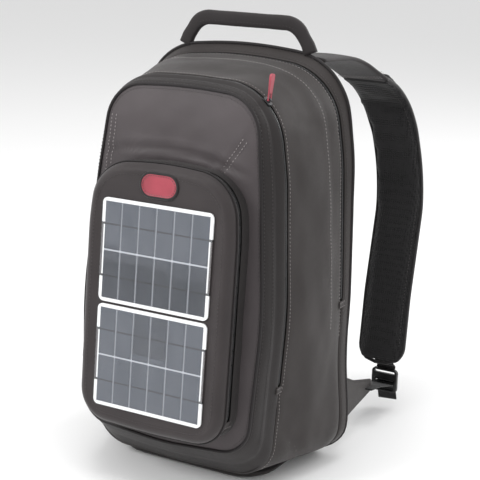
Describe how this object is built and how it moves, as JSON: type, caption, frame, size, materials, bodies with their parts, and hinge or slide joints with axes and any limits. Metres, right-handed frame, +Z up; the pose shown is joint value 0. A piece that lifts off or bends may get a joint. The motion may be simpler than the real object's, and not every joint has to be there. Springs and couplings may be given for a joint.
{
  "type": "solar backpack",
  "caption": "Daypack with a solar-panel front pocket, zipped main and front compartments, grab handle, padded back and curved shoulder straps.",
  "frame": {"origin": "on the flat base that the bag stands on, midway between its sides", "axes": "+Z up, X across the width, -Y towards the solar face, +Y towards the wearer's back"},
  "size_m": [0.3018, 0.4177, 0.498],
  "materials": {
    "shell_fabric": "woven polyester, slight sheen",
    "dark_fabric": "woven polyester, matt",
    "lining": "plain woven lining",
    "piping": "covered cord piping",
    "zipper": "nylon coil on woven tape",
    "mesh": "spacer mesh over foam",
    "webbing": "polypropylene webbing",
    "buckle": "moulded acetal",
    "solar_board": "white laminate",
    "solar_cell": "monocrystalline silicon",
    "solar_cover": "clear laminate",
    "red_rubber": "moulded rubber",
    "slider_metal": "black painted zinc",
    "frame_plastic": "high density polyethylene sheet",
    "battery": "textured plastic case"
  },
  "bodies": {
    "bag_body": {"base_panel": "dark_fabric", "back_shell": "shell_fabric", "back_piping": "piping", "main_zip_rear": "zipper", "frame_sheet": "frame_plastic", "laptop_sleeve": "lining", "back_pad_right": "mesh", "back_pad_left": "mesh", "lumbar_pad": "mesh", "handle_anchors": "dark_fabric", "yoke_anchors": "dark_fabric", "wing_right": "shell_fabric", "wing_left": "shell_fabric", "lower_webbing_right": "webbing", "lower_webbing_left": "webbing"},
    "main_cover": {"main_gusset": "shell_fabric", "main_zip_front": "zipper", "front_zip_rear": "zipper", "divider_panel": "lining", "organizer_pocket": "lining", "battery_pouch": "lining", "battery_pack": "battery"},
    "front_cover": {"front_panel": "shell_fabric", "front_piping": "piping", "front_zip_front": "zipper", "pocket_rear_gusset": "shell_fabric", "pocket_zip_rear": "zipper"},
    "solar_flap": {"pocket_front_gusset": "shell_fabric", "pocket_zip_front": "zipper", "pocket_face": "shell_fabric", "pocket_piping": "piping", "lower_board": "solar_board", "lower_cells": "solar_cell", "lower_cover": "solar_cover", "upper_board": "solar_board", "upper_cells": "solar_cell", "upper_cover": "solar_cover", "junction_boxes": "buckle", "panel_jack": "buckle", "badge": "red_rubber"},
    "handle": {"handle_grip": "dark_fabric"},
    "strap_right": {"yoke_right": "shell_fabric", "strap_pad_right": "mesh", "pad_webbing_right": "webbing"},
    "strap_left": {"yoke_left": "shell_fabric", "strap_pad_left": "mesh", "pad_webbing_left": "webbing"},
    "lock_right": {"ladder_lock_right": "buckle", "webbing_tail_right": "webbing"},
    "lock_left": {"ladder_lock_left": "buckle", "webbing_tail_left": "webbing"},
    "pocket_slider_body": {"pocket_slider": "slider_metal"},
    "pocket_pull_body": {"pocket_pull": "piping"},
    "front_slider_body": {"front_slider": "slider_metal"},
    "front_pull_body": {"front_pull": "red_rubber"},
    "main_slider_body": {"main_slider": "slider_metal"},
    "main_pull_body": {"main_pull": "piping"}
  },
  "joints": [
    {"name": "main_opening", "type": "hinge", "parent": "bag_body", "child": "main_cover", "pos_m": [0, -0.033, 0.003], "axis": [1, 0, 0], "range_deg": [0, 12]},
    {"name": "front_opening", "type": "hinge", "parent": "main_cover", "child": "front_cover", "pos_m": [0, -0.0353, 0.007], "axis": [1, 0, 0], "range_deg": [0, 20]},
    {"name": "flap_opening", "type": "hinge", "parent": "front_cover", "child": "solar_flap", "pos_m": [0, -0.09177, 0.06288], "axis": [1, 0, 0], "range_deg": [0, 50]},
    {"name": "handle_flop", "type": "hinge", "parent": "bag_body", "child": "handle", "pos_m": [0, 0.092, 0.4665], "axis": [1, 0, 0], "range_deg": [-60, 75]},
    {"name": "strap_swing_right", "type": "hinge", "parent": "bag_body", "child": "strap_right", "pos_m": [0.058, 0.098, 0.452], "axis": [1, 0, 0], "range_deg": [-4, 14], "deforming": ["lower_webbing_right"]},
    {"name": "lock_tilt_right", "type": "hinge", "parent": "strap_right", "child": "lock_right", "pos_m": [0.122, 0.252, 0.0515], "axis": [1, 0, 0], "range_deg": [-15, 35]},
    {"name": "strap_swing_left", "type": "hinge", "parent": "bag_body", "child": "strap_left", "pos_m": [-0.058, 0.098, 0.452], "axis": [1, 0, 0], "range_deg": [-4, 14], "deforming": ["lower_webbing_left"]},
    {"name": "lock_tilt_left", "type": "hinge", "parent": "strap_left", "child": "lock_left", "pos_m": [-0.122, 0.252, 0.0515], "axis": [1, 0, 0], "range_deg": [-15, 35]},
    {"name": "pocket_slide", "type": "slide", "parent": "front_cover", "child": "pocket_slider_body", "axis": [0, 0.0872, 0.9962], "range_m": [-0.055, 0.095]},
    {"name": "pocket_pull_swing", "type": "hinge", "parent": "pocket_slider_body", "child": "pocket_pull_body", "pos_m": [-0.0943, -0.08223, 0.17196], "axis": [0, 0.9962, -0.0872], "range_deg": [0, 120]},
    {"name": "main_slide", "type": "slide", "parent": "bag_body", "child": "main_slider_body", "axis": [0.0387, 0, 0.9993], "range_m": [-0.01, 0.085]},
    {"name": "main_pull_swing", "type": "hinge", "parent": "main_slider_body", "child": "main_pull_body", "pos_m": [-0.14147, 0.074, 0.23215], "axis": [0, 1, 0], "range_deg": [0, 120]},
    {"name": "front_slide", "type": "hinge", "parent": "main_cover", "child": "front_slider_body", "pos_m": [0.04011, -0.02261, 0.36912], "axis": [0, -0.9994, 0.0349], "range_deg": [-32, 34]},
    {"name": "front_pull_swing", "type": "hinge", "parent": "front_slider_body", "child": "front_pull_body", "pos_m": [0.09051, -0.02072, 0.42313], "axis": [0, -0.9994, 0.0349], "range_deg": [-100, 30]}
  ]
}
